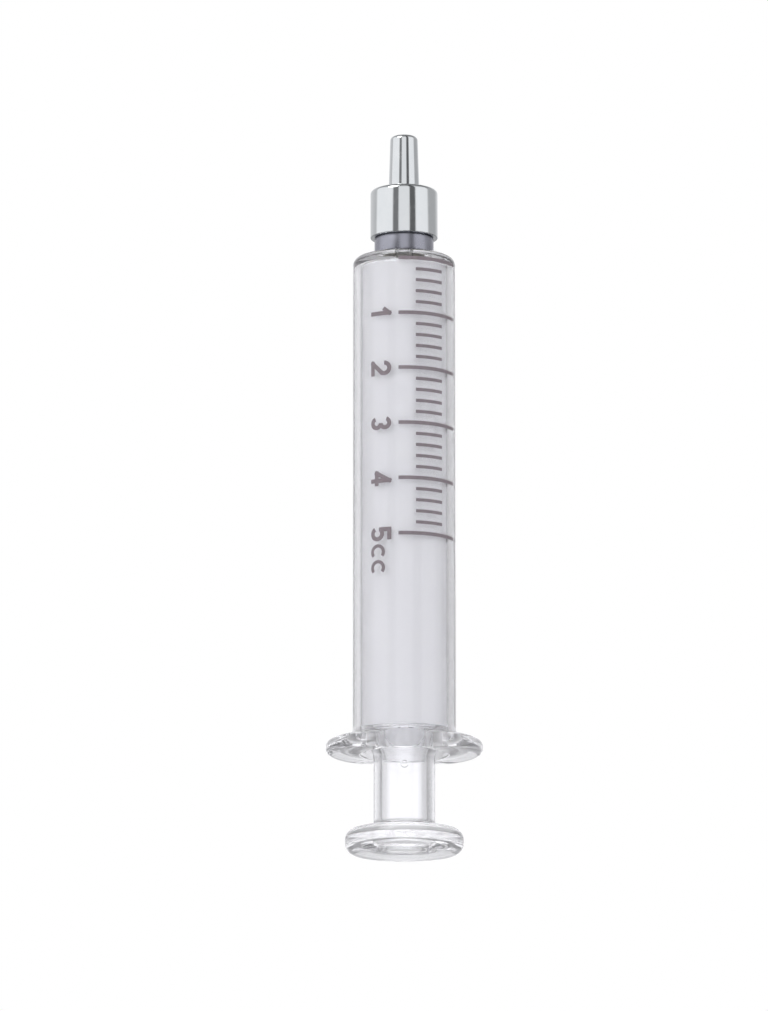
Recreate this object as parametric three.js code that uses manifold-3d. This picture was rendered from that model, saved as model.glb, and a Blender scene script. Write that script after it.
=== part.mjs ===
// A reusable 5 cc glass syringe with a chromed metal Luer hub, drawn with its plunger pushed fully in.
// Millimetres. +Z runs along the syringe towards the tip, and the origin is the centre of the thumb
// button's flat end, on which the syringe can stand. The scale faces -Y.
import * as THREE from 'three';
import { mergeVertices } from 'three/addons/utils/BufferGeometryUtils.js';
import Module from 'manifold-3d';

const wasm = await Module();
wasm.setup();

// ---- Driving dimensions -------------------------------------------------------------------------

// Barrel: a drawn glass tube with a pressed finger flange, a flat shoulder and a short nipple.
const boreRadius = 6.27;
const barrelWall = 1.13;
const endWall = 1.35; // glass between the bore's end and the shoulder's face
const shoulderRounding = 1.1;
const boreCornerRounding = 0.5;
const mouthChamfer = 0.3;
const nippleRadius = 3.0;
const nippleLength = 5.6;
const channelRadius = 0.9; // the fluid way through the nipple, the gasket and the tip
const tailLength = 31.05; // plain tube between the flange's underside and the last mark

// Finger flange, with a flat front and back that stop the syringe rolling.
const flangeReach = 3.9; // beyond the barrel's outside
const flangeThickness = 2.1;
const flangeEdgeRounding = 0.75;
const flangeFlatBeyondBarrel = 0.42;
const flangeFillet = 1.8;

// Scale, fired on in enamel.
const capacity = 5; // cc
const divisionsPerCc = 5;
const enamelThickness = 0.05;
const majorMark = { width: 0.52, from: -6.5, to: 72 }; // degrees round from the front, towards +X
const minorMark = { width: 0.46, from: 13, to: 47 };
const digit = { height: 3.25, width: 2.15, stroke: 0.6, top: -14.6 };
const unitLetter = { height: 2.3, stroke: 0.48, firstDrop: 2.65, pitch: 2.3 };

// Plunger: a hollow ground piston, a thick-walled clear neck and a pressed button.
const pistonClearance = 0.04;
const pistonWall = 1.7;
const pistonEndWall = 2.4;
const pistonFrontRounding = 0.35;
const pistonTail = 3.4; // from the flange's underside up to the ground part's rear end
const neckRadius = 4.42;
const neckHollowRadius = 3.2;
const neckShoulderLength = 3.2;
const neckExposed = 10.7; // between the button and the flange
const ventRadius = 0.5;
const ventDrop = 1.9; // below the flange's underside
const buttonRadius = 8.5;
const buttonThickness = 3.7;
const buttonEdgeRounding = 1.6;
const buttonFillet = 0.8;

// Metal hub: a ferrule round the nipple, a gasket on its end, and a collar that clamps the tip down.
const ferruleExposed = 2.9; // ring between the glass shoulder and the collar
const ferruleStep = 0.35; // the ring stands out from the spigot that the collar fits over
const spigotWall = 0.6;
const collarLength = 7.2;
const collarWall = 0.9;
const collarChamfer = 0.65;
const tipLength = 8.1; // cone that stands out of the collar
const tipEndRadius = 1.99;
const luerTaper = 0.06; // change of diameter per length
const tipEndChamfer = 0.55;
const tipFlangeThickness = 1.1;
const tipFlangeInset = 0.25; // clear of the collar's inside
const gasketThickness = 0.6;

// Fits.
const bondGap = 0.35; // cement between the nipple and the ferrule
const assemblyGap = 0.05; // between pieces that are pressed, soldered or fused together
const markStandoff = 0.02; // enamel above the glass
const pistonEndGap = 0.25; // piston's face to the bore's end with the plunger home

const sides = 48; // facets of a full turn
const arcSteps = 4; // facets of a rounded corner
const swellSteps = 6; // facets along the neck's swelling shoulder
const ventSides = 16;
const weldDistance = 1e-4; // corners nearer than this are one corner

// ---- Heights and radii that follow ---------------------------------------------------------------

const barrelRadius = boreRadius + barrelWall;
const flangeRadius = barrelRadius + flangeReach;
const flangeFlat = barrelRadius + flangeFlatBeyondBarrel;
const lengthPerCc = 1000 / (Math.PI * boreRadius ** 2);

const flangeBottom = buttonThickness + neckExposed;
const flangeTop = flangeBottom + flangeThickness;
const lastMark = flangeBottom + tailLength;
const zeroMark = lastMark + capacity * lengthPerCc;
const pistonFront = zeroMark;
const boreEnd = pistonFront + pistonEndGap;
const shoulderTop = boreEnd + endWall;
const nippleTop = shoulderTop + nippleLength;

const pistonRadius = boreRadius - pistonClearance;
const pistonHollowRadius = pistonRadius - pistonWall;
const pistonRear = flangeBottom + pistonTail;

const ferruleBottom = shoulderTop + assemblyGap;
const collarBottom = ferruleBottom + ferruleExposed;
const collarTop = collarBottom + collarLength;
const ferruleBoreRadius = nippleRadius + bondGap;
const spigotRadius = ferruleBoreRadius + spigotWall;
const ferruleRadius = spigotRadius + ferruleStep;
const ferruleTop = nippleTop - assemblyGap;
const collarHollowRadius = spigotRadius + assemblyGap;
const collarRadius = collarHollowRadius + collarWall;
const tipFlangeRadius = collarHollowRadius - tipFlangeInset;
const gasketBottom = nippleTop + assemblyGap;
const tipFlangeBottom = gasketBottom + gasketThickness + assemblyGap;
const tipFlangeTop = tipFlangeBottom + tipFlangeThickness;
const collarCeiling = tipFlangeTop + assemblyGap;
const tipEnd = collarTop + tipLength;
const coneRadiusAt = (z) => tipEndRadius + (tipEnd - z) * luerTaper / 2;

// ---- Helpers -------------------------------------------------------------------------------------

const point = (radius, height) => new THREE.Vector2(radius, height);

// A quarter-round corner about a centre, from one angle to another in degrees.
function corner(centreRadius, centreHeight, rounding, fromAngle, toAngle) {
  const points = [];
  for (let i = 0; i <= arcSteps; i++) {
    const angle = THREE.MathUtils.degToRad(fromAngle + (toAngle - fromAngle) * i / arcSteps);
    points.push(point(centreRadius + rounding * Math.cos(angle), centreHeight + rounding * Math.sin(angle)));
  }
  return points;
}

// A solid of revolution about Z. The profile is listed with the material on its left.
function turned(profile, closed = true) {
  const points = closed ? [...profile, profile[0].clone()] : profile;
  const geometry = new THREE.LatheGeometry(points, sides);
  geometry.rotateX(Math.PI / 2);
  return geometry;
}

function toSolid(geometry) {
  const bare = geometry.clone();
  bare.deleteAttribute('normal');
  bare.deleteAttribute('uv');
  const merged = mergeVertices(bare, weldDistance);
  return new wasm.Manifold(new wasm.Mesh({
    numProp: 3,
    vertProperties: merged.attributes.position.array,
    triVerts: new Uint32Array(merged.index.array),
  }));
}

function toGeometry(solid) {
  const mesh = solid.getMesh();
  const geometry = new THREE.BufferGeometry();
  geometry.setAttribute('position', new THREE.BufferAttribute(mesh.vertProperties, 3));
  geometry.setIndex(new THREE.BufferAttribute(mesh.triVerts, 1));
  geometry.computeVertexNormals();
  return geometry;
}

const syringe = new THREE.Group();

function addPiece(name, geometry, material) {
  const mesh = new THREE.Mesh(geometry, material);
  mesh.name = name;
  syringe.add(mesh);
  return mesh;
}

// ---- Materials -----------------------------------------------------------------------------------

const clearGlass = new THREE.MeshStandardMaterial({ color: 0xe6eaec, roughness: 0.03, metalness: 0 });
const groundGlass = new THREE.MeshStandardMaterial({ color: 0xdcdee2, roughness: 0.55, metalness: 0 });
const chrome = new THREE.MeshStandardMaterial({ color: 0xc9cdce, roughness: 0.08, metalness: 1 });
const nickel = new THREE.MeshStandardMaterial({ color: 0x8f9194, roughness: 0.25, metalness: 1 });
const enamel = new THREE.MeshStandardMaterial({ color: 0x3b2e31, roughness: 0.4, metalness: 0 });
const cementFill = new THREE.MeshStandardMaterial({ color: 0x9b978c, roughness: 0.9, metalness: 0 });
const silicone = new THREE.MeshStandardMaterial({ color: 0xd8d4cb, roughness: 0.7, metalness: 0 });

// ---- Barrel --------------------------------------------------------------------------------------

function makeBarrel() {
  const edge = flangeEdgeRounding;
  const tube = toSolid(turned([
    point(boreRadius + mouthChamfer, flangeBottom),
    ...corner(flangeRadius - edge, flangeBottom + edge, edge, -90, 0),
    ...corner(flangeRadius - edge, flangeTop - edge, edge, 0, 90),
    ...corner(barrelRadius + flangeFillet, flangeTop + flangeFillet, flangeFillet, -90, -180),
    ...corner(barrelRadius - shoulderRounding, shoulderTop - shoulderRounding, shoulderRounding, 0, 90),
    point(nippleRadius, shoulderTop),
    point(nippleRadius, nippleTop),
    point(channelRadius, nippleTop),
    point(channelRadius, boreEnd),
    ...corner(boreRadius - boreCornerRounding, boreEnd - boreCornerRounding, boreCornerRounding, 90, 0),
    point(boreRadius, flangeBottom + mouthChamfer),
  ]));
  // The flats are cut across the flange and its fillet, clear of the tube.
  const cutHeight = 4 * (flangeThickness + flangeFillet);
  const cutWidth = 3 * flangeRadius;
  let barrel = tube;
  for (const side of [-1, 1]) {
    const waste = new THREE.BoxGeometry(cutWidth, flangeRadius, cutHeight);
    waste.translate(0, side * (flangeFlat + flangeRadius / 2), flangeTop);
    barrel = barrel.subtract(toSolid(waste));
  }
  return toGeometry(barrel);
}

addPiece('barrel', makeBarrel(), clearGlass);

// ---- Scale ---------------------------------------------------------------------------------------

const markInner = barrelRadius + markStandoff;
const markOuter = markInner + enamelThickness;

// A band of enamel round part of the barrel, centred on a height.
function makeMark(height, mark) {
  const turn = (degrees) => THREE.MathUtils.degToRad(degrees - 90);
  const band = new THREE.Shape();
  band.absarc(0, 0, markOuter, turn(mark.from), turn(mark.to), false);
  band.absarc(0, 0, markInner, turn(mark.to), turn(mark.from), true);
  // An arc is drawn with two facets for each curve segment.
  const curveSegments = Math.ceil((mark.to - mark.from) / 360 * sides / 2);
  const geometry = new THREE.ExtrudeGeometry(band, { depth: mark.width, bevelEnabled: false, curveSegments });
  geometry.translate(0, 0, height - mark.width / 2);
  return geometry;
}

let minorCount = 0;
for (let division = 0; division <= capacity * divisionsPerCc; division++) {
  const height = zeroMark - division / divisionsPerCc * lengthPerCc;
  if (division % divisionsPerCc === 0) {
    addPiece(`major_mark_${division / divisionsPerCc}cc`, makeMark(height, majorMark), enamel);
  } else {
    minorCount += 1;
    addPiece(`minor_mark_${String(minorCount).padStart(2, '0')}`, makeMark(height, minorMark), enamel);
  }
}

// A straight stroke between two points of a character, as an outline.
function bar(x0, y0, x1, y1, stroke) {
  const along = new THREE.Vector2(x1 - x0, y1 - y0).normalize().multiplyScalar(stroke / 2);
  const across = new THREE.Vector2(-along.y, along.x);
  return new THREE.Shape([
    new THREE.Vector2(x0 - along.x - across.x, y0 - along.y - across.y),
    new THREE.Vector2(x1 + along.x - across.x, y1 + along.y - across.y),
    new THREE.Vector2(x1 + along.x + across.x, y1 + along.y + across.y),
    new THREE.Vector2(x0 - along.x + across.x, y0 - along.y + across.y),
  ]);
}

// A curved stroke about a centre, anticlockwise from one angle to another in degrees.
function bow(x, y, radius, fromAngle, toAngle, stroke) {
  const from = THREE.MathUtils.degToRad(fromAngle);
  const to = THREE.MathUtils.degToRad(toAngle);
  const shape = new THREE.Shape();
  shape.absarc(x, y, radius + stroke / 2, from, to, false);
  shape.absarc(x, y, radius - stroke / 2, to, from, true);
  return shape;
}

// Each character's strokes, with x along the line of text and y up it, from its centre's foot.
const half = (digit.width - digit.stroke) / 2;
const foot = digit.stroke / 2;
const head = digit.height - digit.stroke / 2;
const bowl = (head - foot) / 4;
const characters = {
  1: [
    bar(0, foot, 0, head, digit.stroke),
    bar(-half * 0.7, head - bowl, 0, head, digit.stroke),
  ],
  2: [
    bow(0, head - half, half, -35, 180, digit.stroke),
    bar(half * 0.82, head - half * 1.57, -half, foot, digit.stroke),
    bar(-half, foot, half, foot, digit.stroke),
  ],
  3: [
    bow(0, head - bowl, bowl, -90, 160, digit.stroke),
    bow(0, foot + bowl, bowl, -160, 90, digit.stroke),
  ],
  4: [
    bar(half * 0.45, foot, half * 0.45, head, digit.stroke),
    bar(half * 0.45, head, -half, foot + bowl, digit.stroke),
    bar(-half, foot + bowl, half, foot + bowl, digit.stroke),
  ],
  5: [
    bar(-half * 0.8, head, half * 0.8, head, digit.stroke),
    bar(-half * 0.8, head, -half * 0.8, foot + 1.75 * half, digit.stroke),
    bow(0, foot + half, half, -150, 125, digit.stroke),
  ],
};
const letterRadius = (unitLetter.height - unitLetter.stroke) / 2;
const letterC = [bow(0, letterRadius + unitLetter.stroke / 2, letterRadius, 50, 310, unitLetter.stroke)];

// The enamel layer that characters are cut from.
const enamelLayer = toSolid(turned([
  point(markInner, flangeTop),
  point(markOuter, flangeTop),
  point(markOuter, shoulderTop),
  point(markInner, shoulderTop),
]));
const bowSegments = 6; // an arc is drawn with two facets for each
const textFoot = digit.top - THREE.MathUtils.radToDeg(digit.height / barrelRadius);

// A character laid on the barrel with its foot at textFoot, its head towards the marks, and its line
// of text running down the barrel.
function makeCharacter(strokes, height, characterHeight) {
  const reach = 2 * barrelWall;
  const middleAngle = textFoot + THREE.MathUtils.radToDeg(characterHeight / 2 / barrelRadius);
  const placed = new THREE.Matrix4()
    .makeRotationZ(THREE.MathUtils.degToRad(middleAngle))
    .multiply(new THREE.Matrix4().makeTranslation(0, -barrelRadius - reach / 2, height))
    .multiply(new THREE.Matrix4().makeBasis(
      new THREE.Vector3(0, 0, -1), new THREE.Vector3(1, 0, 0), new THREE.Vector3(0, -1, 0)))
    .multiply(new THREE.Matrix4().makeTranslation(0, -characterHeight / 2, -reach));
  let joined = null;
  for (const stroke of strokes) {
    const prism = new THREE.ExtrudeGeometry(stroke, { depth: reach, bevelEnabled: false, curveSegments: bowSegments });
    const solid = toSolid(prism.applyMatrix4(placed));
    joined = joined ? joined.add(solid) : solid;
  }
  return toGeometry(joined.intersect(enamelLayer));
}

for (let cc = 1; cc <= capacity; cc++) {
  const height = zeroMark - cc * lengthPerCc;
  addPiece(`numeral_${cc}`, makeCharacter(characters[cc], height, digit.height), enamel);
}
for (const index of [0, 1]) {
  const height = lastMark - unitLetter.firstDrop - index * unitLetter.pitch;
  addPiece(`unit_letter_c${index + 1}`, makeCharacter(letterC, height, unitLetter.height), enamel);
}

// ---- Metal hub -----------------------------------------------------------------------------------

// The ferrule is cemented over the glass nipple; its spigot carries the collar.
addPiece('hub_ferrule', turned([
  point(ferruleBoreRadius, ferruleBottom),
  point(ferruleRadius, ferruleBottom),
  point(ferruleRadius, collarBottom - assemblyGap),
  point(spigotRadius, collarBottom - assemblyGap),
  point(spigotRadius, ferruleTop),
  point(ferruleBoreRadius, ferruleTop),
]), nickel);

addPiece('hub_cement', turned([
  point(nippleRadius + assemblyGap, ferruleBottom),
  point(ferruleBoreRadius - assemblyGap, ferruleBottom),
  point(ferruleBoreRadius - assemblyGap, ferruleTop),
  point(nippleRadius + assemblyGap, ferruleTop),
]), cementFill);

addPiece('hub_gasket', turned([
  point(channelRadius, gasketBottom),
  point(tipFlangeRadius, gasketBottom),
  point(tipFlangeRadius, gasketBottom + gasketThickness),
  point(channelRadius, gasketBottom + gasketThickness),
]), silicone);

// The collar clamps the tip's flange down on the gasket.
const coneHole = coneRadiusAt(tipFlangeTop) + assemblyGap;
addPiece('hub_collar', turned([
  point(collarHollowRadius, collarBottom),
  point(collarRadius, collarBottom),
  point(collarRadius, collarTop - collarChamfer),
  point(collarRadius - collarChamfer, collarTop),
  point(coneHole, collarTop),
  point(coneHole, collarCeiling),
  point(collarHollowRadius, collarCeiling),
]), chrome);

addPiece('luer_tip', turned([
  point(channelRadius, tipFlangeBottom),
  point(tipFlangeRadius, tipFlangeBottom),
  point(tipFlangeRadius, tipFlangeTop),
  point(coneRadiusAt(tipFlangeTop), tipFlangeTop),
  point(coneRadiusAt(tipEnd - tipEndChamfer), tipEnd - tipEndChamfer),
  point(tipEndRadius - tipEndChamfer, tipEnd),
  point(channelRadius, tipEnd),
]), chrome);

// ---- Plunger -------------------------------------------------------------------------------------

// Ground sleeve, closed at the front and open to the neck's hollow at the rear.
addPiece('piston', turned([
  point(0, pistonFront - pistonEndWall),
  point(pistonHollowRadius, pistonFront - pistonEndWall),
  point(pistonHollowRadius, pistonRear + assemblyGap),
  point(pistonRadius, pistonRear + assemblyGap),
  ...corner(pistonRadius - pistonFrontRounding, pistonFront - pistonFrontRounding, pistonFrontRounding, 0, 90),
  point(0, pistonFront),
], false), groundGlass);

// Clear neck: it swells to the piston's diameter at its shoulder, and a small hole vents the hollow.
function makeNeck() {
  const neckBottom = buttonThickness + assemblyGap;
  const shoulderStart = pistonRear - neckShoulderLength;
  const swell = [];
  const hollow = [];
  for (let i = 0; i <= swellSteps; i++) {
    const share = i / swellSteps;
    const eased = (1 - Math.cos(Math.PI * share)) / 2;
    const height = shoulderStart + neckShoulderLength * share;
    swell.push(point(neckRadius + (pistonRadius - neckRadius) * eased, height));
    hollow.unshift(point(neckHollowRadius + (pistonHollowRadius - neckHollowRadius) * eased, height));
  }
  const neck = toSolid(turned([
    point(neckHollowRadius, neckBottom),
    ...corner(neckRadius + buttonFillet, neckBottom + buttonFillet, buttonFillet, -90, -180),
    ...swell,
    ...hollow,
  ]));
  const drillLength = 1.5 * neckRadius; // from the hollow out past the glass
  const vent = new THREE.CylinderGeometry(ventRadius, ventRadius, drillLength, ventSides);
  vent.translate(0, -drillLength / 2, flangeBottom - ventDrop);
  return toGeometry(neck.subtract(toSolid(vent)));
}

addPiece('plunger_neck', makeNeck(), clearGlass);

addPiece('thumb_button', turned([
  point(0, 0),
  ...corner(buttonRadius - buttonEdgeRounding, buttonEdgeRounding, buttonEdgeRounding, -90, 0),
  ...corner(buttonRadius - buttonEdgeRounding, buttonThickness - buttonEdgeRounding, buttonEdgeRounding, 0, 90),
  point(0, buttonThickness),
], false), clearGlass);

export default syringe;
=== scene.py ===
import math

import bpy
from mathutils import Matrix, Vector


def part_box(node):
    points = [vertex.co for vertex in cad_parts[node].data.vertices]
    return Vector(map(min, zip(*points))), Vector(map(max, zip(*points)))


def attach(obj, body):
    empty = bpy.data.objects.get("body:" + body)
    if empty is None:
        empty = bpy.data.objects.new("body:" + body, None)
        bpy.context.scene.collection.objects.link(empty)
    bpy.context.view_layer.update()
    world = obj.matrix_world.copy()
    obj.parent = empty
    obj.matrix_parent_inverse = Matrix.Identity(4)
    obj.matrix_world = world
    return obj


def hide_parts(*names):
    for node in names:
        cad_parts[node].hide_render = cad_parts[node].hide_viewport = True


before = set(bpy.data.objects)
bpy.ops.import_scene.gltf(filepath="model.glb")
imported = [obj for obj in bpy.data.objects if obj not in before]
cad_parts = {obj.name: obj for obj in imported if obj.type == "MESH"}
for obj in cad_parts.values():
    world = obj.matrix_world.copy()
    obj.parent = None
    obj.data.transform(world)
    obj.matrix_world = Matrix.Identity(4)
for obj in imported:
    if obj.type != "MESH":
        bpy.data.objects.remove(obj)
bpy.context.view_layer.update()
scene = bpy.context.scene
mm = 0.001  # m

detail = {
    "turnSteps": 192,  # facets round a turned piece
    "arcStepsPerMm": 8,  # facets along a rounded corner
    "arcStepsLeast": 4,
    "smoothAngle": 35,  # degrees, sharper edges stay sharp
    "sameSpot": 1e-6,  # m
}


def hexColour(code):  # sRGB hex to linear values, by the sRGB standard's own curve
    channels = [int(code[i:i + 2], 16) / 255 for i in (1, 3, 5)]
    linear = [c / 12.92 if c <= 0.04045 else ((c + 0.055) / 1.055) ** 2.4 for c in channels]
    return (*linear, 1.0)


def addNode(tree, kind, settings=None, values=None, links=None):
    node = tree.nodes.new(kind)
    for key, value in (settings or {}).items():
        setattr(node, key, value)
    for key, value in (values or {}).items():
        node.inputs[key].default_value = value
    for key, socket in (links or {}).items():
        tree.links.new(socket, node.inputs[key])
    return node


def noiseScale(size):  # for a noise whose features are that size in mm
    return 1 / (size * mm)


def startMaterial(name):
    material = bpy.data.materials.new(name)
    material.use_nodes = True
    tree = material.node_tree
    place = addNode(tree, "ShaderNodeTexCoord").outputs["Object"]
    return material, tree, tree.nodes["Principled BSDF"], place


def deselectAll():
    if bpy.context.object and bpy.context.object.mode != "OBJECT":
        bpy.ops.object.mode_set(mode="OBJECT")
    bpy.ops.object.select_all(action="DESELECT")


def makeActive(piece):
    deselectAll()
    piece.select_set(True)
    bpy.context.view_layer.objects.active = piece


def selectVertices(piece, wanted):  # called in edit mode, wanted is a test on a vertex's place
    bpy.ops.mesh.select_mode(type="VERT")
    bpy.ops.mesh.select_all(action="DESELECT")
    bpy.ops.object.mode_set(mode="OBJECT")
    for vertex in piece.data.vertices:
        vertex.select = wanted(vertex.co)
    bpy.ops.object.mode_set(mode="EDIT")


def drawWire(name, places):  # edges from place to place, left in edit mode
    deselectAll()
    bpy.ops.mesh.primitive_plane_add(size=mm, location=(0, 0, 0))
    piece = bpy.context.object
    piece.name = name
    bpy.ops.object.mode_set(mode="EDIT")
    bpy.ops.mesh.select_all(action="SELECT")
    bpy.ops.mesh.merge(type="CENTER")
    bpy.ops.transform.translate(value=places[0])
    for here, there in zip(places, places[1:]):
        bpy.ops.mesh.extrude_region_move(TRANSFORM_OT_translate={"value": there - here})
    return piece


def roundCorners(piece, corners, places):
    for (radius, height, rounding), place in zip(corners, places):
        if rounding:
            selectVertices(piece, lambda co: (co - place).length < detail["sameSpot"])
            steps = max(detail["arcStepsLeast"], round(rounding * detail["arcStepsPerMm"]))
            bpy.ops.mesh.bevel(offset=rounding * mm, segments=steps, affect="VERTICES")


# A solid of revolution about the syringe's axis. Each corner is a radius, a height and a rounding in mm.
def turnedPiece(name, corners):
    places = [Vector((radius * mm, 0, height * mm)) for radius, height, rounding in corners]
    piece = drawWire(name, places)
    if places[0].x > 0:  # off the axis, so the outline closes on itself
        bpy.ops.mesh.extrude_region_move(TRANSFORM_OT_translate={"value": places[0] - places[-1]})
        bpy.ops.mesh.select_all(action="SELECT")
        bpy.ops.mesh.remove_doubles(threshold=detail["sameSpot"])
    roundCorners(piece, corners, places)
    bpy.ops.mesh.select_all(action="SELECT")
    bpy.ops.mesh.spin(steps=detail["turnSteps"], angle=2 * math.pi, center=(0, 0, 0), axis=(0, 0, 1))
    bpy.ops.mesh.select_all(action="SELECT")
    bpy.ops.mesh.remove_doubles(threshold=detail["sameSpot"])
    bpy.ops.mesh.normals_make_consistent(inside=False)
    bpy.ops.object.mode_set(mode="OBJECT")
    return piece


def paint(piece, material):
    piece.data.materials.clear()
    piece.data.materials.append(material)


def finishPiece(piece, body, material, slot, *nodes):
    makeActive(piece)
    bpy.ops.object.transform_apply(location=True, rotation=True, scale=True)
    bpy.ops.object.shade_smooth_by_angle(angle=math.radians(detail["smoothAngle"]))
    paint(piece, material)
    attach(piece, body)
    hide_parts(*nodes)


def boxMm(node):  # a CAD node's lowest and highest corners in mm
    low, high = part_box(node)
    return Vector(low) / mm, Vector(high) / mm


cameraView = {
    "aimAt": (-2.92, 0, 50.9),  # mm, a little left of the syringe's axis
    "elevation": -11.4,  # degrees, so from just below the flange
    "distance": 1.0,  # m
    "lens": 246.6,  # mm
    "sensor": 36,  # mm
    "clip": (0.01, 50),  # m
}


def placeCamera():
    tilt = math.radians(cameraView["elevation"])
    back = Vector((0, -math.cos(tilt), math.sin(tilt)))
    aim = Vector(cameraView["aimAt"]) * mm
    bpy.ops.object.camera_add(location=aim + back * cameraView["distance"])
    camera = bpy.context.object
    camera.data.sensor_width = cameraView["sensor"]
    camera.data.lens = cameraView["lens"]
    camera.rotation_mode = "QUATERNION"
    camera.rotation_quaternion = (-back).to_track_quat("-Z", "Y")
    camera.data.clip_start, camera.data.clip_end = cameraView["clip"]
    scene.camera = camera


placeCamera()
print("camera placed")


studio = {
    "backdrop": 1.0,  # what the camera sees behind the syringe
    "fill": 0.8,  # what lights matt surfaces
    "fillThroughGlass": 1.95,  # and what lights them from beyond the glass
    "tint": "#fafafd",
    # brightness of the room round the syringe, by degrees from the camera's side, + to the right
    "reflected": [
        (-180, 1.0), (-150, 0.75), (-112, 0.62), (-104, 1.08), (-41, 1.08), (-36, 0.24), (-21, 0.24),
        (-17, 0.98), (17, 0.98), (21, 0.15), (37, 0.15), (42, 1.08), (86, 1.04), (94, 0.5), (130, 0.5),
        (155, 0.8), (180, 1.0),
    ],
    "refracted": [
        (-180, 1.15), (-172, 1.15), (-163, 0.88), (-141, 0.8), (-134, 0.44), (-92, 0.44), (-80, 1.5),
        (80, 1.5), (92, 0.46), (130, 0.46), (145, 0.62), (163, 0.74), (172, 1.15), (180, 1.15),
    ],
    # and by the sine of the height above the horizon
    "reflectedHeights": [
        (-1, 0.3), (-0.5, 0.4), (-0.12, 0.48), (-0.02, 1.0), (0.55, 1.0), (0.85, 0.35), (1, 0.3),
    ],
    "refractedHeights": [(-1, 0.5), (-0.1, 0.55), (0, 1.0), (1, 1.0)],
    "floorDrop": 300,  # mm below the button, so that the low camera sees past its edge
    "floorRadius": 6,  # m
    "floorSides": 96,
    "paperTone": (0.86, 0.9),
    "paperFibre": 2.5,  # mm
    "paperRoughness": 0.9,
    "softboxPlace": (-0.9, -0.9, 1.4),  # m
    "softboxAim": (0, 0, 0.05),  # m
    "softboxSize": 0.9,  # m
    "softboxPower": 9,  # W
    "bounces": 32,  # light is thrown to and fro in thick glass
}


def addRamp(tree, value, stops, low, high, tint="#ffffff"):  # stops are place and brightness
    share = addNode(tree, "ShaderNodeMapRange", values={"From Min": low, "From Max": high},
                    links={"Value": value})
    ramp = addNode(tree, "ShaderNodeValToRGB", links={0: share.outputs[0]})
    brightest = max(level for place, level in stops)
    elements = ramp.color_ramp.elements
    while len(elements) < len(stops):
        elements.new(0.5)  # each is then given its place
    for element, (place, level) in zip(elements, stops):
        element.position = (place - low) / (high - low)
        element.color = [channel * level / brightest for channel in hexColour(tint)]
    return ramp.outputs[0], brightest


def makeRoom():
    world = bpy.data.worlds.new("white studio room")
    scene.world = world
    world.use_nodes = True
    tree = world.node_tree
    tree.nodes.clear()
    direction = addNode(tree, "ShaderNodeTexCoord").outputs["Generated"]
    parts = addNode(tree, "ShaderNodeSeparateXYZ", links={0: direction}).outputs
    towards = addNode(tree, "ShaderNodeMath", {"operation": "MULTIPLY"}, {1: -1.0}, {0: parts["Y"]})
    turn = addNode(tree, "ShaderNodeMath", {"operation": "ARCTAN2"}, {},
                   {0: parts["X"], 1: towards.outputs[0]})
    degrees = addNode(tree, "ShaderNodeMath", {"operation": "DEGREES"}, {}, {0: turn.outputs[0]}).outputs[0]
    rays = addNode(tree, "ShaderNodeLightPath").outputs
    rooms = []
    for key in ("reflected", "refracted"):
        around, brightest = addRamp(tree, degrees, studio[key], -180, 180, studio["tint"])
        height, tallest = addRamp(tree, parts["Z"], studio[key + "Heights"], -1, 1)
        level = addNode(tree, "ShaderNodeVectorMath", {"operation": "MULTIPLY"}, {}, {0: around, 1: height})
        rooms.append(addNode(tree, "ShaderNodeBackground", values={"Strength": brightest * tallest},
                             links={"Color": level.outputs[0]}).outputs[0])
    white = hexColour(studio["tint"])
    fills = []
    for key in ("fill", "fillThroughGlass"):
        fills.append(addNode(tree, "ShaderNodeBackground",
                             values={"Color": white, "Strength": studio[key]}).outputs[0])
    backdrop = addNode(tree, "ShaderNodeBackground",
                       values={"Color": hexColour("#ffffff"), "Strength": studio["backdrop"]})
    through = rays["Is Transmission Ray"]
    seen = addNode(tree, "ShaderNodeMixShader", links={0: through, 1: rooms[0], 2: rooms[1]})
    fill = addNode(tree, "ShaderNodeMixShader", links={0: through, 1: fills[0], 2: fills[1]})
    lit = addNode(tree, "ShaderNodeMixShader",
                  links={0: rays["Diffuse Depth"], 1: seen.outputs[0], 2: fill.outputs[0]})
    whole = addNode(tree, "ShaderNodeMixShader",
                    links={0: rays["Is Camera Ray"], 1: lit.outputs[0], 2: backdrop.outputs[0]})
    addNode(tree, "ShaderNodeOutputWorld", links={"Surface": whole.outputs[0]})
    for limit in ("max_bounces", "glossy_bounces", "transmission_bounces"):
        setattr(scene.cycles, limit, studio["bounces"])


def makeFloor():
    deselectAll()
    bpy.ops.mesh.primitive_circle_add(vertices=studio["floorSides"], radius=studio["floorRadius"],
                                      fill_type="NGON", location=(0, 0, -studio["floorDrop"] * mm))
    floor = bpy.context.object
    floor.name = "studioFloor"
    bpy.ops.object.transform_apply(location=True, rotation=True, scale=True)
    # Matt white backdrop paper: pale and even, with a trace of fibre.
    material, tree, shader, place = startMaterial("matt white backdrop paper")
    fibres = addNode(tree, "ShaderNodeTexNoise",
                     values={"Scale": noiseScale(studio["paperFibre"]), "Detail": 4.0},
                     links={"Vector": place})
    tone = addNode(tree, "ShaderNodeMapRange",
                   values={"To Min": studio["paperTone"][0], "To Max": studio["paperTone"][1]},
                   links={"Value": fibres.outputs[0]})
    tree.links.new(tone.outputs[0], shader.inputs["Base Color"])
    shader.inputs["Roughness"].default_value = studio["paperRoughness"]
    paint(floor, material)
    floor.visible_glossy = False  # the glass and the metal show the room's lower half instead
    floor.visible_transmission = False


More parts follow.
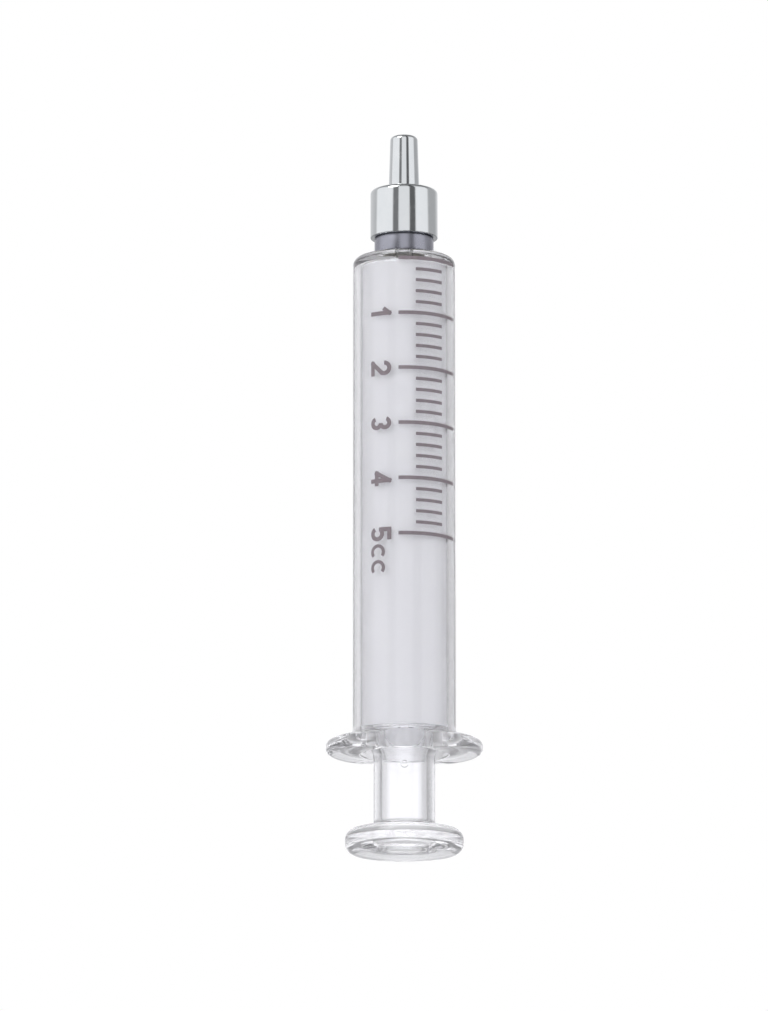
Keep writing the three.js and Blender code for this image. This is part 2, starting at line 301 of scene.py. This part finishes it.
def makeSoftbox():
    bpy.ops.object.light_add(type="AREA", location=studio["softboxPlace"])
    softbox = bpy.context.object
    softbox.name = "overheadSoftbox"
    softbox.data.shape = "SQUARE"
    softbox.data.size = studio["softboxSize"]
    softbox.data.energy = studio["softboxPower"]
    aim = Vector(studio["softboxAim"]) - softbox.location
    softbox.rotation_euler = aim.to_track_quat("-Z", "Y").to_euler()
    softbox.visible_camera = False


makeRoom()
makeFloor()
makeSoftbox()
scene.view_settings.view_transform = "Standard"
print("studio ready")


# Borosilicate glass, drawn as tube and fire-polished: clear and wet-looking, with faint draw lines along it
# and the dull smears of handling.
clearGlassLook = {
    "colour": "#fcfcfd",
    "clear": 0.965,  # the rest is the haze that age leaves
    "ior": 1.474,
    "drawLineWidth": 1.1,  # mm
    "drawLineShape": (1, 1, 0.03),  # much longer than wide
    "drawLineDepth": 0.02,  # mm
    "drawLineBump": 0.03,
    "smearSize": 6.2,  # mm
    "smearSwirl": 1.5,
    "smearRange": (0.5, 0.8),
    "roughness": (0.02, 0.08),
}


def makeClearGlass():
    look = clearGlassLook
    material, tree, shader, place = startMaterial("clear borosilicate glass")
    shader.inputs["Base Color"].default_value = hexColour(look["colour"])
    shader.inputs["Transmission Weight"].default_value = look["clear"]
    shader.inputs["IOR"].default_value = look["ior"]
    stretched = addNode(tree, "ShaderNodeMapping", values={"Scale": look["drawLineShape"]},
                        links={"Vector": place})
    drawLines = addNode(tree, "ShaderNodeTexNoise",
                        values={"Scale": noiseScale(look["drawLineWidth"]), "Detail": 2.0},
                        links={"Vector": stretched.outputs[0]})
    bump = addNode(tree, "ShaderNodeBump",
                   values={"Strength": look["drawLineBump"], "Distance": look["drawLineDepth"] * mm},
                   links={"Height": drawLines.outputs[0]})
    smears = addNode(tree, "ShaderNodeTexNoise",
                     values={"Scale": noiseScale(look["smearSize"]), "Detail": 5.0,
                             "Distortion": look["smearSwirl"]},
                     links={"Vector": place})
    dulled = addNode(tree, "ShaderNodeMapRange",
                     values={"From Min": look["smearRange"][0], "From Max": look["smearRange"][1],
                             "To Min": look["roughness"][0], "To Max": look["roughness"][1]},
                     links={"Value": smears.outputs[0]})
    tree.links.new(dulled.outputs[0], shader.inputs["Roughness"])
    tree.links.new(bump.outputs[0], shader.inputs["Normal"])
    return material


# The same glass ground with fine abrasive: an even milky white that scatters what is behind it, with
# hair-fine rings left by the grinding as it turned. Grit and rings are drawn coarser than real, to show.
groundGlassLook = {
    "colours": ("#fafafd", "#fefefe"),
    "clear": 0.5,
    "ior": 1.474,
    "gritSize": 0.19,  # mm
    "ringWidth": 0.26,  # mm
    "ringShape": (0.02, 0.02, 1),  # much wider round the axis than along it
    "cloudSize": 4.5,  # mm
    "bumpDepth": 0.01,  # mm
    "bump": 0.25,
    "roughness": (0.42, 0.6),
}


def makeGroundGlass():
    look = groundGlassLook
    material, tree, shader, place = startMaterial("finely ground glass")
    shader.inputs["Transmission Weight"].default_value = look["clear"]
    shader.inputs["IOR"].default_value = look["ior"]
    grit = addNode(tree, "ShaderNodeTexNoise", values={"Scale": noiseScale(look["gritSize"]), "Detail": 3.0},
                   links={"Vector": place})
    flattened = addNode(tree, "ShaderNodeMapping", values={"Scale": look["ringShape"]},
                        links={"Vector": place})
    rings = addNode(tree, "ShaderNodeTexNoise",
                    values={"Scale": noiseScale(look["ringWidth"]), "Detail": 2.0},
                    links={"Vector": flattened.outputs[0]})
    cloud = addNode(tree, "ShaderNodeTexNoise",
                    values={"Scale": noiseScale(look["cloudSize"]), "Detail": 3.0}, links={"Vector": place})
    milky = addNode(tree, "ShaderNodeMix", {"data_type": "RGBA"},
                    {"A": hexColour(look["colours"][0]), "B": hexColour(look["colours"][1])},
                    {"Factor": cloud.outputs[0]})
    both = addNode(tree, "ShaderNodeMath", {"operation": "ADD"}, {},
                   {0: grit.outputs[0], 1: rings.outputs[0]})
    bump = addNode(tree, "ShaderNodeBump",
                   values={"Strength": look["bump"], "Distance": look["bumpDepth"] * mm},
                   links={"Height": both.outputs[0]})
    matt = addNode(tree, "ShaderNodeMapRange",
                   values={"To Min": look["roughness"][0], "To Max": look["roughness"][1]},
                   links={"Value": grit.outputs[0]})
    tree.links.new(milky.outputs["Result"], shader.inputs["Base Color"])
    tree.links.new(matt.outputs[0], shader.inputs["Roughness"])
    tree.links.new(bump.outputs[0], shader.inputs["Normal"])
    return material


# Brass turned and plated. Bright chromium is a cool mirror with fine turning rings and a few wipe marks.
# Satin nickel is greyer and softer, with plainer rings and faint stains, and its colour is darkened further
# as painted shade. The rings are drawn coarser than the real feed of the lathe, to show.
chromeLook = {
    "colours": ("#d8dcdd", "#e4e6e6"),
    "ringWidth": 0.38,  # mm
    "ringBump": 0.06,
    "markSize": 1.4,  # mm
    "markSwirl": 0.8,
    "markRange": (0.35, 0.75),
    "roughness": (0.05, 0.16),
}
nickelLookWithPaintedShade = {
    # darker than bare nickel: its own greyer tone with painted shade laid over it
    "colours": ("#9596a0", "#b1b2bb"),
    "ringWidth": 0.24,  # mm
    "ringBump": 0.2,
    "markSize": 1.1,  # mm
    "markSwirl": 0.0,
    "markRange": (0.0, 1.0),
    "roughness": (0.2, 0.38),
}
turned = {
    "ringShape": (0.03, 0.03, 1),  # much wider round the axis than along it
    "ringDepth": 0.01,  # mm
}


def makePlatedBrass(name, look):
    material, tree, shader, place = startMaterial(name)
    shader.inputs["Metallic"].default_value = 1.0
    flattened = addNode(tree, "ShaderNodeMapping", values={"Scale": turned["ringShape"]},
                        links={"Vector": place})
    rings = addNode(tree, "ShaderNodeTexNoise",
                    values={"Scale": noiseScale(look["ringWidth"]), "Detail": 3.0},
                    links={"Vector": flattened.outputs[0]})
    bump = addNode(tree, "ShaderNodeBump",
                   values={"Strength": look["ringBump"], "Distance": turned["ringDepth"] * mm},
                   links={"Height": rings.outputs[0]})
    marks = addNode(tree, "ShaderNodeTexNoise",
                    values={"Scale": noiseScale(look["markSize"]), "Detail": 6.0,
                            "Distortion": look["markSwirl"]},
                    links={"Vector": place})
    dulled = addNode(tree, "ShaderNodeMapRange",
                     values={"From Min": look["markRange"][0], "From Max": look["markRange"][1],
                             "To Min": look["roughness"][0], "To Max": look["roughness"][1]},
                     links={"Value": marks.outputs[0]})
    tone = addNode(tree, "ShaderNodeMix", {"data_type": "RGBA"},
                   {"A": hexColour(look["colours"][0]), "B": hexColour(look["colours"][1])},
                   {"Factor": marks.outputs[0]})
    tree.links.new(tone.outputs["Result"], shader.inputs["Base Color"])
    tree.links.new(dulled.outputs[0], shader.inputs["Roughness"])
    tree.links.new(bump.outputs[0], shader.inputs["Normal"])
    return material


# Brown-violet vitreous enamel, screened on and fired: half-gloss, a little uneven in strength, with a
# pebbled skin.
enamelLook = {
    "colours": ("#73686d", "#958b90"),
    "grainSize": 0.45,  # mm
    "bumpDepth": 0.01,  # mm
    "bump": 0.3,
    "roughness": (0.28, 0.5),
}
# Litharge cement, set hard: dull warm grey and grainy.
cementLook = {
    "colours": ("#8c887e", "#aaa69a"),
    "grainSize": 0.33,  # mm
    "bumpDepth": 0.03,  # mm
    "bump": 0.5,
    "roughness": (0.88, 0.96),
}
# Moulded silicone rubber: soft matt off-white with a faint bloom.
siliconeLook = {
    "colours": ("#d2cec5", "#e2dfd8"),
    "grainSize": 0.83,  # mm
    "bumpDepth": 0.01,  # mm
    "bump": 0.1,
    "roughness": (0.55, 0.65),
}


def makeGrained(name, look):  # one noise gives the tone, the gloss and the grain
    material, tree, shader, place = startMaterial(name)
    grain = addNode(tree, "ShaderNodeTexNoise",
                    values={"Scale": noiseScale(look["grainSize"]), "Detail": 4.0}, links={"Vector": place})
    tone = addNode(tree, "ShaderNodeMix", {"data_type": "RGBA"},
                   {"A": hexColour(look["colours"][0]), "B": hexColour(look["colours"][1])},
                   {"Factor": grain.outputs[0]})
    gloss = addNode(tree, "ShaderNodeMapRange",
                    values={"To Min": look["roughness"][0], "To Max": look["roughness"][1]},
                    links={"Value": grain.outputs[0]})
    bump = addNode(tree, "ShaderNodeBump",
                   values={"Strength": look["bump"], "Distance": look["bumpDepth"] * mm},
                   links={"Height": grain.outputs[0]})
    tree.links.new(tone.outputs["Result"], shader.inputs["Base Color"])
    tree.links.new(gloss.outputs[0], shader.inputs["Roughness"])
    tree.links.new(bump.outputs[0], shader.inputs["Normal"])
    return material


clearGlass = makeClearGlass()
groundGlass = makeGroundGlass()
chrome = makePlatedBrass("bright chromium plate", chromeLook)
nickel = makePlatedBrass("satin nickel plate", nickelLookWithPaintedShade)
enamel = makeGrained("fired brown enamel", enamelLook)
cement = makeGrained("hub cement", cementLook)
silicone = makeGrained("moulded silicone rubber", siliconeLook)
print("materials ready")


barrel = {  # mm
    "boreRadius": 6.27,
    "tubeRadius": 7.4,
    "mouthRounding": 0.3,
    "flangeThickness": 2.1,
    "flangeEdge": 1.0,
    "flangeFillet": 1.8,
    "flatEdge": 0.45,
    "shoulderRounding": 1.1,
    "endWall": 1.35,
    "nippleRadius": 3.0,
    "nippleLength": 5.6,
    "nippleFillet": 0.2,
    "channelRadius": 0.9,
    "channelEdge": 0.3,
    "boreCorner": 0.5,
}


def makeBarrel():
    low, high = boxMm("barrel")
    flangeTop = low.z + barrel["flangeThickness"]
    shoulderTop = high.z - barrel["nippleLength"]
    boreEnd = shoulderTop - barrel["endWall"]
    piece = turnedPiece("barrelGlass", [
        (barrel["boreRadius"], low.z, barrel["mouthRounding"]),
        (high.x, low.z, barrel["flangeEdge"]),
        (high.x, flangeTop, barrel["flangeEdge"]),
        (barrel["tubeRadius"], flangeTop, barrel["flangeFillet"]),
        (barrel["tubeRadius"], shoulderTop, barrel["shoulderRounding"]),
        (barrel["nippleRadius"], shoulderTop, barrel["nippleFillet"]),
        (barrel["nippleRadius"], high.z, 0),
        (barrel["channelRadius"], high.z, 0),
        (barrel["channelRadius"], boreEnd, barrel["channelEdge"]),
        (barrel["boreRadius"], boreEnd, barrel["boreCorner"]),
    ])
    bpy.ops.object.mode_set(mode="EDIT")
    for side in (-1, 1):  # the flats, cut and softened
        flat = side * high.y * mm
        bpy.ops.mesh.select_all(action="SELECT")
        bpy.ops.mesh.bisect(plane_co=(0, flat, 0), plane_no=(0, side, 0), clear_outer=True, use_fill=True)
        selectVertices(piece, lambda co: abs(co.y - flat) < detail["sameSpot"])
        bpy.ops.mesh.bevel(offset=barrel["flatEdge"] * mm, segments=detail["arcStepsLeast"], affect="EDGES",
                           clamp_overlap=True)
    bpy.ops.object.mode_set(mode="OBJECT")
    finishPiece(piece, "barrel", clearGlass, "clear_glass", "barrel")


makeBarrel()
print("barrel made")


plunger = {  # mm
    "pistonWall": 1.7,
    "pistonEndWall": 2.4,
    "pistonEdge": 0.35,
    "hollowEndEdge": 0.8,
    "jointEdge": 0.1,  # where the ground piston and the clear neck meet
    "neckRadius": 4.42,
    "neckHollowRadius": 3.2,
    "neckShoulder": 3.2,
    "shoulderRounding": 0.8,
    "hollowRounding": 0.64,
    "neckFillet": 0.8,
    "hollowFootEdge": 1.2,
    "buttonEdge": 1.6,
    "ventRadius": 0.5,
    "ventSides": 32,
    "ventDrop": 1.9,  # below the flange
    "ventReach": 6.63,  # from the axis out past the glass
}


def makePiston():
    low, high = boxMm("piston")
    hollow = high.x - plunger["pistonWall"]
    ceiling = high.z - plunger["pistonEndWall"]
    piece = turnedPiece("groundPiston", [
        (0, ceiling, 0),
        (hollow, ceiling, plunger["hollowEndEdge"]),
        (hollow, low.z, 0),
        (high.x, low.z, plunger["jointEdge"]),
        (high.x, high.z, plunger["pistonEdge"]),
        (0, high.z, 0),
    ])
    finishPiece(piece, "plunger", groundGlass, "ground_glass", "piston")


def drillVent(piece):  # a small hole through the neck's front wall, into its hollow
    mouth = boxMm("barrel")[0].z
    height = (mouth - plunger["ventDrop"]) * mm
    reach = plunger["ventReach"] * mm
    deselectAll()
    bpy.ops.mesh.primitive_cylinder_add(vertices=plunger["ventSides"], radius=plunger["ventRadius"] * mm,
                                        depth=reach, rotation=(math.pi / 2, 0, 0),
                                        location=(0, -reach / 2, height))
    drill = bpy.context.object
    makeActive(piece)
    bpy.ops.object.modifier_add(type="BOOLEAN")
    cut = piece.modifiers[-1]
    cut.object = drill
    cut.operation = "DIFFERENCE"
    cut.solver = "EXACT"
    bpy.ops.object.modifier_apply(modifier=cut.name)
    bpy.data.objects.remove(drill)


def makePlungerGlass():  # the neck and the button are fused, so they are one surface
    high = boxMm("plunger_neck")[1]
    buttonLow, buttonHigh = boxMm("thumb_button")
    hollowTop = high.x - plunger["pistonWall"]
    swellStart = high.z - plunger["neckShoulder"]
    swell = plunger["shoulderRounding"]
    hollowSwell = plunger["hollowRounding"]
    piece = turnedPiece("plungerGlass", [
        (0, buttonLow.z, 0),
        (buttonHigh.x, buttonLow.z, plunger["buttonEdge"]),
        (buttonHigh.x, buttonHigh.z, plunger["buttonEdge"]),
        (plunger["neckRadius"], buttonHigh.z, plunger["neckFillet"]),
        (plunger["neckRadius"], swellStart, swell),
        (high.x, high.z - swell, swell),
        (high.x, high.z, plunger["jointEdge"]),
        (hollowTop, high.z, 0),
        (hollowTop, high.z - swell, hollowSwell),
        (plunger["neckHollowRadius"], swellStart, hollowSwell),
        (plunger["neckHollowRadius"], buttonHigh.z, plunger["hollowFootEdge"]),
        (0, buttonHigh.z, 0),
    ])
    drillVent(piece)
    finishPiece(piece, "plunger", clearGlass, "clear_glass", "plunger_neck", "thumb_button")


makePiston()
makePlungerGlass()
print("plunger made")


hub = {  # mm
    "collarWall": 0.9,
    "collarEdge": 0.65,
    "collarFootEdge": 0.12,
    "ferruleStep": 0.35,
    "ferruleFoot": 0.7,
    "ferruleBore": 3.35,
    "tipEndEdge": 0.6,
    "tipEndRadius": 1.99,
    "taper": 0.06,  # of the diameter, for each mm along the cone
    "tipFlangeThickness": 1.1,
    "channelRadius": 0.9,
    "channelEdge": 0.15,
    "innerEdge": 0.1,
    "clearance": 0.05,
}


def makeHub():
    low, high = boxMm("hub_collar")
    tipLow, tipHigh = boxMm("luer_tip")
    ferruleLow, ferruleHigh = boxMm("hub_ferrule")
    flangeTop = tipLow.z + hub["tipFlangeThickness"]
    coneFoot = hub["tipEndRadius"] + (tipHigh.z - flangeTop) * hub["taper"] / 2
    coneHole = coneFoot + hub["clearance"]
    collarHollow = high.x - hub["collarWall"]
    collar = turnedPiece("chromedCollar", [
        (collarHollow, low.z, hub["collarFootEdge"]),
        (high.x, low.z, hub["collarFootEdge"]),
        (high.x, high.z, hub["collarEdge"]),
        (coneHole, high.z, hub["collarFootEdge"]),
        (coneHole, flangeTop + hub["clearance"], 0),
        (collarHollow, flangeTop + hub["clearance"], 0),
    ])
    finishPiece(collar, "barrel", chrome, "chrome", "hub_collar")
    tip = turnedPiece("luerTip", [
        (hub["channelRadius"], tipLow.z, 0),
        (tipHigh.x, tipLow.z, hub["innerEdge"]),
        (tipHigh.x, flangeTop, hub["innerEdge"]),
        (coneFoot, flangeTop, 0),
        (hub["tipEndRadius"], tipHigh.z, hub["tipEndEdge"]),
        (hub["channelRadius"], tipHigh.z, hub["channelEdge"]),
    ])
    finishPiece(tip, "barrel", chrome, "chrome", "luer_tip")
    spigot = ferruleHigh.x - hub["ferruleStep"]
    ferrule = turnedPiece("nickelFerrule", [
        (hub["ferruleBore"], ferruleLow.z, 0),
        (ferruleHigh.x, ferruleLow.z, hub["ferruleFoot"]),
        (ferruleHigh.x, low.z - hub["clearance"], hub["channelEdge"]),
        (spigot, low.z - hub["clearance"], 0),
        (spigot, ferruleHigh.z, hub["innerEdge"]),
        (hub["ferruleBore"], ferruleHigh.z, 0),
    ])
    finishPiece(ferrule, "barrel", nickel, "nickel", "hub_ferrule")
    for node, material in (("hub_cement", cement), ("hub_gasket", silicone)):
        paint(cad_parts[node], material)


makeHub()
print("hub made")


scale = {
    "thickness": 0.05,  # mm
    "standOff": 0.02,  # mm
    "stepAngle": 1.5,  # degrees for each facet of a mark
    "major": (-6.5, 72),  # degrees round from the front
    "minor": (13, 47),
}


def makeMark(name, node, span):  # a short upright edge, swept round the glass
    low, high = boxMm(node)
    radius = barrel["tubeRadius"] + scale["standOff"]
    start, end = (math.radians(angle - 90) for angle in span)
    x, y = radius * math.cos(start), radius * math.sin(start)
    piece = drawWire(name, [Vector((x, y, low.z)) * mm, Vector((x, y, high.z)) * mm])
    bpy.ops.mesh.select_all(action="SELECT")
    steps = round((span[1] - span[0]) / scale["stepAngle"])
    bpy.ops.mesh.spin(steps=steps, angle=end - start, center=(0, 0, 0), axis=(0, 0, -1))
    bpy.ops.object.mode_set(mode="OBJECT")
    return piece


def thicken(piece):
    makeActive(piece)
    bpy.ops.object.modifier_add(type="SOLIDIFY")
    solidify = piece.modifiers[-1]
    solidify.thickness = scale["thickness"] * mm
    solidify.offset = 1
    bpy.ops.object.modifier_apply(modifier=solidify.name)


def makeScale():
    for node in sorted(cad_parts):
        if "_mark_" in node:
            kind = node.split("_")[0]
            mark = makeMark(node + "Enamel", node, scale[kind])
            thicken(mark)
            finishPiece(mark, "barrel", enamel, "enamel", node)
        elif node.startswith(("numeral_", "unit_letter_")):
            paint(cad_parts[node], enamel)


makeScale()
print("scale made")
